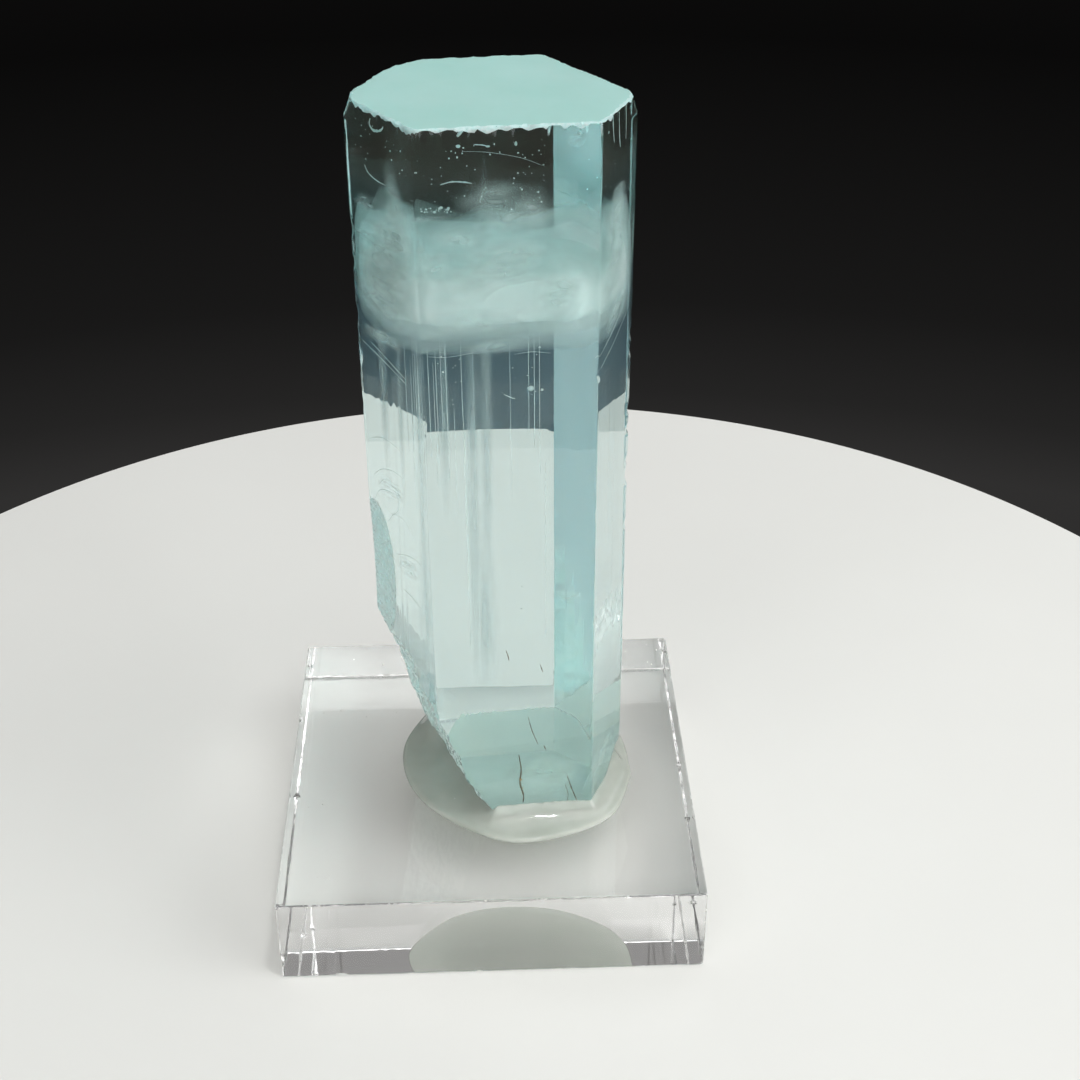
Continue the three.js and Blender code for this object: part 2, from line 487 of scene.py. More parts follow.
def sideShift(columns, z):
    # growth lines and worn edges at one height
    out = np.zeros((len(columns), 2))
    for face in range(6):
        chosen = [k for k, c in enumerate(columns) if c[2] == face]
        along = np.array([columns[k][3] for k in chosen])
        width = columns[chosen[0]][4]
        push = np.array([columns[k][1] for k in chosen])
        out[chosen] = push * relief(crystal["lines"][face], along, z)[:, None]
        for corner, far in ((face, along), (face + 1, width - along)):
            wear = edgeWear(corner % 6, z)
            ridge = (outward(corner - 1) + outward(corner)) / math.sqrt(3)
            out[chosen] -= ridge * (0.36 * wear * np.clip(1 - far / (1.154 * wear), 0, 1) ** 2)[:, None]
    return out


def ringFaces(total, rings, offset=0):
    faces = []
    for r in range(rings - 1):
        for k in range(total):
            n = (k + 1) % total
            a, b = offset + r * total, offset + (r + 1) * total
            faces.append([a + k, a + n, b + n, b + k])
    return faces


def crystalMesh():
    columns = sectionColumns()
    total = len(columns)
    crystal["lines"] = [growthLines(face, [c for c in columns if c[2] == face][0][4]) for face in range(6)]
    place = np.array([c[0] for c in columns]) + crystalAxis
    heights = np.arange(crystalFoot, crystalTop - 0.95, crystal["rowStep"]).tolist()
    rows = len(heights)
    rings = []
    for z in heights:
        rings.append(np.column_stack([place + sideShift(columns, z), np.full(total, z)]))
    # chipped rim, then the flat top in shrinking rings
    rimShares = (1, 0.72, 0.4, 0.15, 0)
    around = np.cumsum([0] + [np.linalg.norm(place[k + 1] - place[k]) for k in range(total - 1)])
    bite = 0.04 + chipsAlong(5, around[-1], 230, (0.08, 0.5), (0.05, 0.3))(around)
    drop = 0.09 + chipsAlong(6, around[-1], 120, (0.06, 0.55), (0.04, 0.34))(around)
    top = place + sideShift(columns, crystalTop)
    spoke = (top - crystalAxis) / np.linalg.norm(top - crystalAxis, axis=1)[:, None]
    for share in rimShares:
        inward = top - spoke * (bite * (1 - share) ** 1.3)[:, None]
        lump = 1 + 0.25 * np.sin(31 * around + 9 * share)
        rings.append(np.column_stack([inward, crystalTop - drop * share ** 1.4 * lump]))
    last = rings[-1]
    middle = last.mean(0)
    for share in (0.985, 0.93, 0.8, 0.6, 0.4, 0.2):
        rings.append(middle + (last - middle) * share)
    floorPoint = [*rings[0][:, :2].mean(0), crystalFoot]
    points = np.concatenate(rings + [middle[None, :], [floorPoint]])
    faces = ringFaces(total, len(rings))
    kinds = []
    for r in range(len(rings) - 1):
        for k in range(total):
            side = satinSide if columns[k][2] == crystal["satinFace"] else clearSide
            rim = crustedRim if r < rows + len(rimShares) - 1 else frostedTop
            kinds.append(side if r < rows else rim)
    hub = len(rings) * total
    for k in range(total):
        n = (k + 1) % total
        faces.append([hub - total + k, hub - total + n, hub])
        kinds.append(frostedTop)
        faces.append([n, k, hub + 1])
        kinds.append(groundFoot)
    mesh = meshFrom("aquamarine", points, faces, smooth=False)
    mesh.polygons.foreach_set("material_index", kinds)
    return mesh


def breakSlab(b, back=0, cell=None):
    # a block whose working face is the broken surface; "back" draws that face out of the crystal
    width, height = b["size"]
    cell = cell or b["cell"]
    nu, nv = int(width / cell), int(height / cell)
    uSpots = np.linspace(-0.5, 0.5, nu + 1) * width
    vSpots = np.linspace(-0.5, 0.5, nv + 1) * height
    u, v = np.meshgrid(uSpots, vSpots, indexing="ij")
    far = np.minimum(np.hypot(u - b["scoopAt"], v) / b["scoopReach"], 1)
    lift = b["scoop"] * (1 - far * far) - back
    lift += b["ripple"] * (np.sin(1.1 * np.hypot(u - 3, v + 6)) + 0.5 * np.sin(2.3 * u + 0.7 * v))
    spots = np.column_stack([0.9 * u.ravel(), 0.9 * v.ravel(), np.full(u.size, 3.1)])
    lift += b["grit"] * noiseAt(spots, 0, 5).reshape(u.shape)
    turn = np.array(Vector((0, 0, 1)).rotation_difference(Vector(b["into"]).normalized()).to_matrix())
    square = [(-1, -1), (1, -1), (1, 1), (-1, 1)]
    base = [(sx * width / 2, sy * height / 2, -slabDepth) for sx, sy in square]
    local = np.concatenate([np.column_stack([u.ravel(), v.ravel(), lift.ravel()]), base])
    faces = []
    for i in range(nu):
        for j in range(nv):
            a = i * (nv + 1) + j
            faces.append([a, a + nv + 1, a + nv + 2, a + 1])
    count = u.size
    last = nu * (nv + 1)
    edges = [range(0, last + 1, nv + 1), range(last, last + nv + 1),
             range(last + nv, nv - 1, -(nv + 1)), range(nv, -1, -1)]
    for side, edge in enumerate(edges):
        faces.append([count + side, count + (side + 1) % 4] + list(edge)[::-1])
    faces.append([count + 3, count + 2, count + 1, count])
    return meshFrom("break", local @ turn.T + b["at"], faces, smooth=False)


def carve(piece, tool, operation="DIFFERENCE"):
    cut = piece.modifiers.new("cut", "BOOLEAN")
    cut.operation = operation
    cut.solver = "MANIFOLD"
    cut.object = tool
    done = bpy.data.meshes.new_from_object(piece.evaluated_get(bpy.context.evaluated_depsgraph_get()))
    piece.modifiers.clear()
    piece.data = done
    bpy.data.objects.remove(tool)


def breakAway(piece, back=0, cell=None, kind=0):
    for b in breaks.values():
        tool = addObject("tool", breakSlab(b, back, cell))
        for material in piece.data.materials:
            tool.data.materials.append(material)
        tool.data.polygons.foreach_set("material_index", [kind] * len(tool.data.polygons))
        carve(piece, tool)


def chipOff(piece, kind):
    # a shallow flake gone from the left edge
    points = []
    for row in range(1, spall["rows"]):
        tilt = math.pi * row / spall["rows"]
        for step in range(spall["around"]):
            a = 2 * math.pi * step / spall["around"]
            spot = Vector((math.sin(tilt) * math.cos(a), math.sin(tilt) * math.sin(a), -math.cos(tilt)))
            crumble = 1 + spall["grit"] * noise.fractal(spot * 4, 0.8, 2.1, 4) * math.sin(tilt)
            points.append([s * r * crumble for s, r in zip(spot, spall["radii"])])
    faces = ringFaces(spall["around"], spall["rows"] - 1)
    points += [(0, 0, -spall["radii"][2]), (0, 0, spall["radii"][2])]
    low, high = len(points) - 2, len(points) - 1
    for step in range(spall["around"]):
        n = (step + 1) % spall["around"]
        faces.append([n, step, low])
        faces.append([low - spall["around"] + step, low - spall["around"] + n, high])
    turn = np.array(Matrix.Rotation(faceTurn(spall["face"]), 3, "Z"))
    tool = addObject("tool", meshFrom("tool", np.array(points) @ turn.T + spall["at"], faces, smooth=False))
    for material in piece.data.materials:
        tool.data.materials.append(material)
    tool.data.polygons.foreach_set("material_index", [kind] * len(faces))
    carve(piece, tool)


def buildCrystal():
    finishes = [clearBeryl(), crustedBeryl(), brokenBeryl(), frostedBeryl(), satinBeryl(), groundBeryl()]
    piece = addPiece("aquamarine", crystalMesh(), finishes, "aquamarine_crystal")
    breakAway(piece, kind=brokenFace)
    chipOff(piece, brokenFace)
    piece.data.shade_smooth()
    piece.data.set_sharp_from_angle(angle=math.radians(28))
    print("crystal", len(piece.data.polygons))


buildCrystal()


def simplePrism(name, grow, low, high):
    corners = prismCorners(grow) + crystalAxis
    points = [(*corner, low) for corner in corners] + [(*corner, high) for corner in corners]
    faces = [[k, (k + 1) % 6, 6 + (k + 1) % 6, 6 + k] for k in range(6)]
    return meshFrom(name, points, faces + [list(range(5, -1, -1)), list(range(6, 12))], smooth=False)


cloud = {
    "layers": [
        # how far it keeps from the crystal's faces, how much lower its top is, how much higher its base,
        # its share of the swellings and its density; the last is the solid white core
        (0.2, 0, -0.2, 1, 130), (0.6, 0.8, 0.7, 0.75, 260), (1.0, 1.0, 1.7, 0.3, 0),
    ],
    "colour": (0.93, 1.0, 0.98, 1),
    "cover": 0.02,  # of the faint skin round it
    "top": 50.5,
    "bottom": 44.8,
    "squareness": 0.1,
    # swellings of the top: x, y, half width, half depth, height
    "swells": [
        (0.7, -0.8, 2.4, 5, 4.6), (-4.8, -3.3, 1.9, 2.6, 4.2), (5.8, 0, 2.6, 4, 2.4), (-5, 3, 1.6, 2.5, 1.5),
    ],
    # tongues that hang below it
    "tongues": [(1.0, -0.3, 1.1, 2.5, 2.4), (5.5, 0, 1.2, 3, 0.9), (-4.6, -2.4, 1.4, 2, 0.9)],
    "ripple": 0.15,
    "around": 84,
    "bands": 36,
    "hazeInset": 0.25,
    "hazeClear": 0.45,  # how far a haze keeps from the broken corner
    "hazes": [
        # thin mist above and below the cloud: name, density, colour, lowest and highest point
        ("upper_haze", 6, (1.0, 0.68, 0.54, 1), 53.5, 58.75),
        ("lower_haze", 22, (0.62, 0.82, 1.0, 1), 8.5, 46),
    ],
}


def mistMaterial(name, density, colour, cover=0):
    # mist of tiny fluid-filled tubes, with the faintest skin if "cover" asks for one
    g = Graph(name)
    scatter = g.node("ShaderNodeVolumeScatter", {}, {"Color": colour, "Density": density})
    if cover:
        tone = g.ramp(g.grain(0.5, 1), (0.35, (0.78, 0.93, 0.91)), (0.65, (0.92, 1, 0.99)))
        return g.finish(g.solid(Base_Color=tone, Roughness=1.0, Alpha=cover), scatter)
    return g.finish(g.node("ShaderNodeBsdfTransparent"), scatter)


def coreMaterial():
    # where the tubes crowd so thickly that the crystal turns white
    g = Graph("cloud core")
    tone = g.ramp(g.grain(0.45, 3, 0.5, (0.6, 0.6, 1.5)), (0.3, (0.86, 0.97, 0.94)), (0.7, (0.96, 1, 0.98)))
    return g.finish(g.solid(Base_Color=tone, Roughness=0.9, Specular_IOR_Level=0.1))


def bulges(places, x, y):
    # soft mounds: x, y, half width, half depth and height of each
    out = np.zeros_like(x)
    for px, py, wide, deep, rise in places:
        out += rise * np.exp(-((x - px) / wide) ** 2 - ((y - py) / deep) ** 2)
    return out


def cloudLayer(level):
    # a rounded slab of cloud across the crystal, with a billowing top and base
    inset, sink, rise, swell, _ = cloud["layers"][level]
    corners = prismCorners(-inset) + crystalAxis
    steps = cloud["around"] // 6
    outline = []
    for k in range(6):
        for s in range(steps):
            outline.append(corners[k] + (corners[(k + 1) % 6] - corners[k]) * s / steps)
    outline = np.array(outline)
    for _ in range(2):
        outline = (np.roll(outline, 1, 0) + 2 * outline + np.roll(outline, -1, 0)) / 4
    middle = outline.mean(0)
    rings = []
    for band in range(1, cloud["bands"]):
        tilt = math.pi * (band / cloud["bands"] - 0.5)
        share = math.cos(tilt) ** cloud["squareness"]
        rank = math.copysign(abs(math.sin(tilt)) ** 0.8, tilt)  # from -1 at the base to 1 at the top
        spots = middle + (outline - middle) * share
        x, y = spots.T
        crown = cloud["top"] + swell * bulges(cloud["swells"], x, y) - sink
        base = cloud["bottom"] - bulges(cloud["tongues"], x, y) + rise
        centre = (cloud["top"] + cloud["bottom"]) / 2
        z = centre + rank * np.where(rank > 0, crown - centre, centre - base)
        ripple = noiseAt(np.column_stack([x * 0.45, y * 0.45, z * 0.6]), level + 1, 4)
        z = z + cloud["ripple"] * ripple * abs(rank)
        pull = 1 - 0.03 * np.abs(noiseAt(np.column_stack([x * 0.4, y * 0.4, z * 0.5]), level + 20, 2))
        rings.append(np.column_stack([middle + (spots - middle) * pull[:, None], z]))
    points = np.concatenate(rings + [[rings[0].mean(0)], [rings[-1].mean(0)]])
    total = len(outline)
    faces = ringFaces(total, len(rings))
    hub = total * len(rings)
    for k in range(total):
        n = (k + 1) % total
        faces.append([n, k, hub])
        faces.append([hub - total + k, hub - total + n, hub + 1])
    return meshFrom("cloud", points, faces)


def buildCloud():
    for level, layer in enumerate(cloud["layers"]):
        density = layer[-1]
        name = "cloud_layer_" + str(level + 1)
        cover = cloud["cover"] if level == 0 else 0
        mist = mistMaterial(name, density, cloud["colour"], cover) if density else coreMaterial()
        addPiece(name, cloudLayer(level), [mist])
    for name, density, colour, low, high in cloud["hazes"]:
        mist = mistMaterial(name, density, colour)
        shape = simplePrism(name, -cloud["hazeInset"], low, high)
        piece = addPiece(name, shape, [mist])
        if low < breaks["corner"]["at"][2]:
            breakAway(piece, back=-cloud["hazeClear"], cell=0.8)
    print("cloud", len(cloud["layers"]))


buildCloud()


marks = {
    # each mark: the face it is seen through, its place along that face, its height there, how deep it lies
    "specks": [
        # and its radius
        (0, 2.63, 58.13, 0.8, 0.12), (0, 5.93, 58.16, 0.8, 0.14), (0, 4.34, 58.06, 1.0, 0.11),
        (0, 4.44, 57.58, 1.0, 0.07), (0, 2.1, 57.45, 0.8, 0.07), (0, 2.56, 57.49, 1.2, 0.06),
        (0, 6.05, 57.6, 0.6, 0.06), (0, 6.45, 57.3, 0.6, 0.05), (0, 1.95, 55.5, 1.5, 0.05),
        (0, 3.9, 55.1, 1.5, 0.06), (0, 5.8, 56.1, 1.0, 0.06), (0, 5.75, 55.8, 1.0, 0.04),
        (0, 6.25, 55.4, 1.0, 0.05), (0, 7.2, 55.2, 1.0, 0.06), (0, 5.2, 50.2, 0.5, 0.10),
        (0, 6.69, 42.44, 2.0, 0.20), (0, 7.4, 42.3, 2.0, 0.12), (0, 1.3, 43.9, 1.0, 0.06),
        (0, 7.26, 45.23, 1.0, 0.09), (0, 6.0, 27.6, 1.0, 0.05), (0, 5.95, 25.8, 1.0, 0.05),
        (0, 9.6, 58.6, 0.3, 0.16), (5, 2.0, 57.3, 0.8, 0.06), (5, 5.2, 57.3, 0.8, 0.06),
        (5, 6.3, 57.6, 0.6, 0.06), (5, 5.3, 56.8, 0.6, 0.05), (5, 2.4, 56.0, 0.8, 0.05),
        (1, 0.89, 58.29, 0.5, 0.07), (0, 9.9, 47.2, 0.4, 0.05), (0, 5.6, 31.2, 0.6, 0.04),
    ],
    "speckFields": [
        # face, stretch along it, stretch of height, of depth, how many, radius
        (0, (0.8, 7.6), (54.2, 58.4), (0.6, 4), 60, (0.015, 0.05)),
        (0, (0.8, 7.6), (41, 45), (0.6, 4), 24, (0.015, 0.05)),
        (5, (0.8, 7.0), (52, 58.4), (0.4, 2), 40, (0.015, 0.045)),
        (1, (0.5, 4.8), (52, 58), (0.4, 2), 24, (0.015, 0.045)),
        (0, (0.5, 9.5), (8.5, 20), (0.4, 2), 24, (0.012, 0.035)),
    ],
    "speckRow": {
        "face": 0, "from": (0.3, 54.5), "to": (2.1, 54.4), "deep": 0.8, "count": 26, "radius": (0.03, 0.09),
    },
    "threads": [
        # face, depth, radius, then points as (place along, height)
        (5, 0.5, 0.07, [(3.16, 58.67), (3.05, 58.3), (3.4, 58.05), (3.98, 58.15), (4.4, 58.35),
                        (4.56, 58.53)]),
        (5, 0.8, 0.04, [(2.2, 55.6), (2.6, 55.2), (3.5, 55.0), (4.42, 54.99)]),
        (5, 0.6, 0.035, [(0.64, 43.42), (3.0, 42.95), (5.49, 42.37)]),
        (5, 0.6, 0.035, [(1.62, 43.7), (3.6, 43.2), (5.52, 42.66)]),
        (5, 0.5, 0.022, [(0.59, 36.2), (2.2, 37.0), (3.9, 37.1), (5.24, 36.69)]),
        (5, 0.5, 0.022, [(0.93, 33.6), (2.0, 34.5), (3.4, 35.0), (4.86, 35.01)]),
        (5, 0.4, 0.020, [(0.86, 31.7), (1.6, 32.7), (3.0, 33.2), (4.34, 33.23)]),
        (5, 0.4, 0.020, [(1.4, 33.0), (2.4, 33.9), (3.6, 33.6), (3.9, 32.4), (3.0, 31.5), (1.9, 31.8)]),
        (5, 0.4, 0.020, [(2.4, 30.6), (3.3, 31.6), (4.6, 31.7), (5.4, 31.0)]),
        (5, 0.5, 0.022, [(3.2, 28.4), (4.6, 29.0), (5.8, 29.2), (6.7, 29.0)]),
        (5, 0.4, 0.025, [(3.9, 25.9), (5.0, 25.8), (6.3, 25.4)]),
        (0, 1.0, 0.045, [(1.54, 55.9), (2.2, 56.05), (2.9, 56.0), (3.37, 55.9)]),
        (0, 0.7, 0.010, [(2.91, 57.83), (4.4, 57.7), (6.2, 57.3), (7.59, 56.72)]),
        (0, 0.9, 0.035, [(3.55, 58.2), (4.0, 58.15), (4.34, 58.06)]),
        (0, 0.2, 0.11, [(2.95, 59.1), (2.75, 58.9), (2.6, 58.7)]),
        (0, 1.5, 0.015, [(5.7, 44.85), (6.8, 44.95), (7.9, 44.8)]),
        (0, 1.0, 0.03, [(5.01, 42.13), (5.5, 41.85), (5.7, 41.8)]),
        (0, 0.8, 0.012, [(0.4, 45.0), (1.6, 44.9), (3.2, 45.1)]),
        (1, 0.4, 0.03, [(0.09, 44.3), (2.2, 45.1), (4.33, 46.3)]),
        (1, 0.4, 0.03, [(0.3, 43.4), (2.4, 44.2), (4.5, 45.3)]),
        (1, 0.4, 0.02, [(0.6, 46.6), (2.6, 47.4), (4.4, 48.8)]),
        (1, 0.2, 0.05, [(1.5, 59.2), (1.6, 58.3), (1.8, 57.4)]),
        (1, 0.2, 0.05, [(2.5, 59.0), (2.6, 57.8), (2.8, 56.8)]),
        (1, 0.2, 0.04, [(3.6, 59.1), (3.7, 58.0), (3.7, 57.0)]),
        (1, 0.4, 0.03, [(0.4, 22.8), (1.8, 24.0), (3.2, 25.4)]),
    ],
    "tubes": [
        # upright hollow growth tubes: face, place along, lowest and highest point, depth, radius
        (0, 0.85, 38.6, 46.0, 3.0, 0.03), (0, 1.15, 39.4, 47.0, 4.0, 0.025),
        (0, 1.45, 36.6, 46.2, 3.5, 0.035), (0, 2.42, 23.0, 47.0, 3.0, 0.035),
        (0, 6.55, 39.0, 47.5, 5.0, 0.03), (0, 6.9, 38.0, 46.5, 5.0, 0.03),
        (0, 7.25, 36.0, 47.0, 5.0, 0.025), (0, 3.1, 30.0, 45.0, 7.0, 0.02), (0, 5.4, 34.0, 46.5, 6.0, 0.02),
        (0, 7.6, 24.0, 38.0, 2.0, 0.02), (0, 1.9, 33.0, 41.0, 6.0, 0.02), (5, 5.6, 38.0, 46.0, 2.5, 0.03),
        (5, 6.2, 36.0, 45.0, 2.5, 0.025), (1, 2.0, 30.0, 41.0, 1.5, 0.02), (1, 3.0, 26.0, 40.0, 1.5, 0.02),
    ],
    "columns": [
        # soft upright growth columns: x and y, width, lowest and highest point
        ((-0.8, -0.5), 1.3, 19, 48.5), ((0.15, -0.4), 1.1, 17, 57), ((-0.3, 0.4), 2.4, 14.5, 30),
        ((-2.6, 0.2), 0.9, 30, 48), ((-5.6, -2.2), 1.2, 33, 48),
    ],
    "columnLean": -0.012,
    "veils": [
        # wispy healed cracks: face, place along, height, depth, half width, half height and slant
        (5, 2.4, 53.2, 1.0, 1.8, 0.7, 8), (5, 2.6, 50.9, 0.7, 2.4, 0.5, -5),
        (5, 3.0, 47.2, 0.6, 2.6, 0.45, 6), (5, 3.2, 44.6, 0.7, 2.6, 0.5, -8),
        (0, 1.2, 54.0, 1.2, 1.3, 0.35, 4), (1, 2.2, 45.6, 0.6, 2.2, 0.9, 16),
        (1, 2.6, 54.0, 0.8, 1.8, 0.8, 0), (0, 9.1, 26.5, 0.3, 0.9, 2.2, 75),
        (0, 9.4, 58.2, 0.3, 0.6, 0.5, 0), (5, 3.0, 33.4, 0.6, 1.6, 1.2, 25),
        (5, 4.6, 28.0, 0.6, 1.5, 1.0, 15),
    ],
    "wisps": [
        # feathery fringe of the cloud, placed like the healed cracks
        (0, 4.6, 54.9, 1.2, 2.6, 1.5, 0), (0, 5.6, 53.6, 2.4, 3.0, 1.4, 8),
        (0, 2.6, 52.4, 1.0, 2.4, 1.3, -10), (0, 6.9, 54.2, 1.6, 1.5, 1.6, 0),
        (0, 1.2, 50.9, 0.7, 1.6, 1.3, 0), (0, 4.6, 49.6, 0.6, 4.2, 1.7, 3),
        (0, 3.6, 47.2, 0.6, 3.6, 1.0, -3), (0, 5.2, 45.6, 1.6, 3.2, 0.8, 4),
        (0, 8.6, 48.5, 0.6, 2.0, 3.4, 0), (5, 5.4, 54.6, 0.7, 1.0, 2.6, 0),
        (5, 4.4, 51.6, 0.6, 2.2, 1.8, 6), (5, 2.6, 49.2, 0.6, 2.8, 1.4, -4),
        (5, 4.0, 46.8, 0.7, 2.8, 1.3, 8), (5, 3.0, 44.6, 0.6, 2.6, 0.8, 10),
        (1, 2.4, 52.8, 0.6, 2.2, 2.2, 0), (1, 2.4, 49.2, 0.5, 2.4, 2.4, 8),
        (1, 2.8, 46.4, 0.6, 2.2, 1.0, 16), (5, 3.6, 50.0, 0.4, 3.4, 3.2, 0),
        (5, 5.4, 51.6, 0.5, 1.8, 4.6, 0), (1, 2.4, 50.5, 0.4, 2.5, 4.2, 0),
        (5, 3.4, 48.2, 0.3, 3.2, 3.0, 0), (5, 5.6, 52.0, 0.8, 1.5, 4.2, 0),
        (5, 5.9, 51.5, 1.1, 1.3, 4.6, 0), (5, 4.8, 51.0, 0.9, 2.2, 2.8, 0),
        (0, 4.4, 50.4, 0.9, 3.8, 2.0, 0), (0, 5.6, 51.2, 1.3, 3.0, 1.8, 0),
        (1, 2.6, 52.4, 0.8, 2.2, 2.4, 0),
    ],
    "bloom": [
        # pale cloudiness at the foot, placed the same way
        (0, 7.4, 10.9, 1.4, 3.4, 2.9, 6), (1, 2.4, 10.6, 1.2, 2.2, 2.9, 0),
    ],
    "needles": [
        # dark foreign needles at the foot: face, depth, radius, points
        (0, 0.5, 0.06, [(5.65, 13.0), (5.8, 11.6), (5.7, 10.4), (5.95, 9.2), (5.9, 8.5)]),
        (0, 0.5, 0.04, [(9.12, 10.77), (9.5, 9.4), (9.95, 8.0)]),
        (0, 0.6, 0.03, [(6.35, 16.4), (6.6, 15.2), (7.02, 13.9)]),
        (0, 0.4, 0.03, [(4.85, 22.4), (4.99, 21.9), (5.05, 21.5)]),
        (0, 0.4, 0.03, [(7.2, 21.0), (7.3, 20.6), (7.4, 20.3)]),
        (0, 0.4, 0.03, [(7.45, 13.7), (7.6, 13.3)]),
        (0, 0.5, 0.025, [(9.0, 9.9), (9.2, 9.0), (9.15, 8.2)]),
    ],
    "rust": [(0, 5.75, 10.7, 0.5, 0.13), (0, 5.9, 9.9, 0.5, 0.09), (0, 9.45, 9.5, 0.5, 0.06)],
}


def sightLine(face, along, height):
    # the point where the eye meets a face, and the way its sight is bent inside
    corners = prismCorners() + crystalAxis
    start, end = corners[face], corners[(face + 1) % 6]
    entry = np.array([*(start + (end - start) * along / np.linalg.norm(end - start)), height])
    normal = np.array([*outward(face), 0])
    sight = entry - np.array(view["place"])
    sight /= np.linalg.norm(sight)
    eta = 1 / crystal["ior"]
    facing = -sight @ normal
    bent = eta * sight + (eta * facing - math.sqrt(1 - eta * eta * (1 - facing * facing))) * normal
    return entry, bent / (-bent @ normal)


def behind(face, along, height, depth):
    entry, bent = sightLine(face, along, height)
    return entry + bent * depth


def joined(parts):
    # several point and face lists as one
    points, faces, count = [], [], 0
    for somePoints, someFaces in parts:
        points.append(np.asarray(somePoints, float))
        faces += [[count + index for index in face] for face in someFaces]
        count += len(somePoints)
    return np.concatenate(points), faces


def smoothPath(path, steps=8):
    # a curve through the points
    path = np.asarray(path, float)
    ends = np.concatenate([[2 * path[0] - path[1]], path, [2 * path[-1] - path[-2]]])
    out = []
    for k in range(len(path) - 1):
        a, b, c, d = ends[k:k + 4]
        for t in np.linspace(0, 1, steps, endpoint=False):
            out.append(0.5 * (2 * b + (c - a) * t + (2 * a - 5 * b + 4 * c - d) * t * t
                              + (3 * b - a - 3 * c + d) * t ** 3))
    return np.array(out + [path[-1]])


def thread(path, radius, sides=6, jitter=0.3, seed=0):
    # a hair-thin tube that tapers to both ends
    path = smoothPath(path)
    rng = random.Random(seed)
    count = len(path)
    along = np.gradient(path, axis=0)
    along /= np.linalg.norm(along, axis=1)[:, None]
    side = np.cross(along, [0.31, 0.62, 0.72])
    side /= np.linalg.norm(side, axis=1)[:, None]
    other = np.cross(along, side)
    rings = []
    for k in range(count):
        fat = radius * (0.25 + 0.75 * math.sin(math.pi * (k + 0.6) / (count + 0.2)) ** 0.5)
        fat *= 1 + rng.uniform(-jitter, jitter)
        for s in range(sides):
            a = 2 * math.pi * s / sides
            rings.append(path[k] + fat * (math.cos(a) * side[k] + math.sin(a) * other[k]))
    faces = ringFaces(sides, count)
    faces.append(list(range(sides - 1, -1, -1)))
    faces.append(list(range((count - 1) * sides, count * sides)))
    return rings, faces


def lump(centre, radius, seed):
    # a small crumbly grain
    rng = random.Random(seed)
    stretch = np.array([rng.uniform(0.6, 1.3), rng.uniform(0.6, 1.2), rng.uniform(0.5, 1.1)])
    rows, around = 5, 8
    points = []
    for r in range(1, rows):
        tilt = math.pi * r / rows
        for s in range(around):
            a = 2 * math.pi * s / around
            spot = np.array([math.sin(tilt) * math.cos(a), math.sin(tilt) * math.sin(a), -math.cos(tilt)])
            points.append(centre + radius * stretch * spot * rng.uniform(0.75, 1.15))
    faces = ringFaces(around, rows - 1)
    points += [centre - [0, 0, radius * stretch[2]], centre + [0, 0, radius * stretch[2]]]
    low, high = len(points) - 2, len(points) - 1
    for s in range(around):
        n = (s + 1) % around
        faces.append([n, s, low])
        faces.append([low - around + s, low - around + n, high])
    return points, faces


def leaf(centre, across, up, seed, curl=0.12, thick=0.012, rings=12, around=28):
    # a thin, gently curled lens, with how far in from its rim each point lies
    normal = np.cross(across, up)
    normal /= np.linalg.norm(normal)
    size = (np.linalg.norm(across) + np.linalg.norm(up)) / 2
    points, fades = [], []
    for face in (-1, 1):
        for r in range(rings):
            share = (r + 1) / rings if face < 0 else 1 - (r + 1) / rings
            if face > 0 and r == rings - 1:
                break
            for s in range(around):
                a = 2 * math.pi * s / around
                u, v = share * math.cos(a), share * math.sin(a)
                bend = noise.noise((u * 1.3 + seed, v * 1.3, seed * 0.7)) * curl * size
                lift = bend + face * thick * (1 - share * share)
                points.append(centre + u * across + v * up + lift * normal)
                fades.append(1 - share)
    total = len(points) // around
    faces = ringFaces(around, total)
    for face, ring in ((-1, 0), (1, total - 1)):
        hub = len(points)
        points.append(np.mean(points[ring * around:(ring + 1) * around], axis=0))
        fades.append(1)
        for s in range(around):
            n = (s + 1) % around
            a, b = ring * around + s, ring * around + n
            faces.append([b, a, hub] if face < 0 else [a, b, hub])
    return points, faces, fades


def paleGlint():
    g = Graph("pale crack")
    tone = g.ramp(g.grain(3, 3), (0.3, (0.75, 0.9, 0.9)), (0.7, (1, 1, 1)))
    return g.finish(g.solid(Base_Color=tone, Roughness=0.35, IOR=1.2, Transmission_Weight=0.25,
                            Normal=g.bump(g.grain(8, 2), 0.4, 0.02)))


def hollowTube():
    # an air-filled tube: bright against the dark and dark against the light
    g = Graph("hollow tube")
    silver = g.ramp(g.grain(1.5, 3, 0.6, (1, 1, 0.3)), (0.4, 0.02), (0.7, 0.2))
    return g.finish(g.solid(Base_Color=(0.9, 0.96, 0.96, 1), Roughness=silver, IOR=1 / crystal["ior"],
                            Transmission_Weight=0.6))


def wispMaterial(name, tone, cover, stretch, scale, ragged=True):
    g = Graph(name)
    rim = g.node("ShaderNodeAttribute", {"attribute_name": "inside"}, out="Fac")
    if ragged:
        wisps = g.ramp(g.grain(scale, 6, 0.65, stretch, 0.8), (0.42, 0.0), (0.68, cover))
        soft = g.ramp(rim, (0.0, 0.0), (0.55, 1.0))
    else:
        wisps = g.ramp(g.grain(scale, 2, 0.5, stretch, 0.3), (0.3, cover * 0.3), (0.7, cover))
        soft = g.ramp(rim, (0.0, 0.0), (0.3, 0.25), (0.85, 1.0))
    skin = g.solid(Base_Color=(*tone, 1), Roughness=0.7)
    return g.finish(g.fade(soft * wisps, skin))


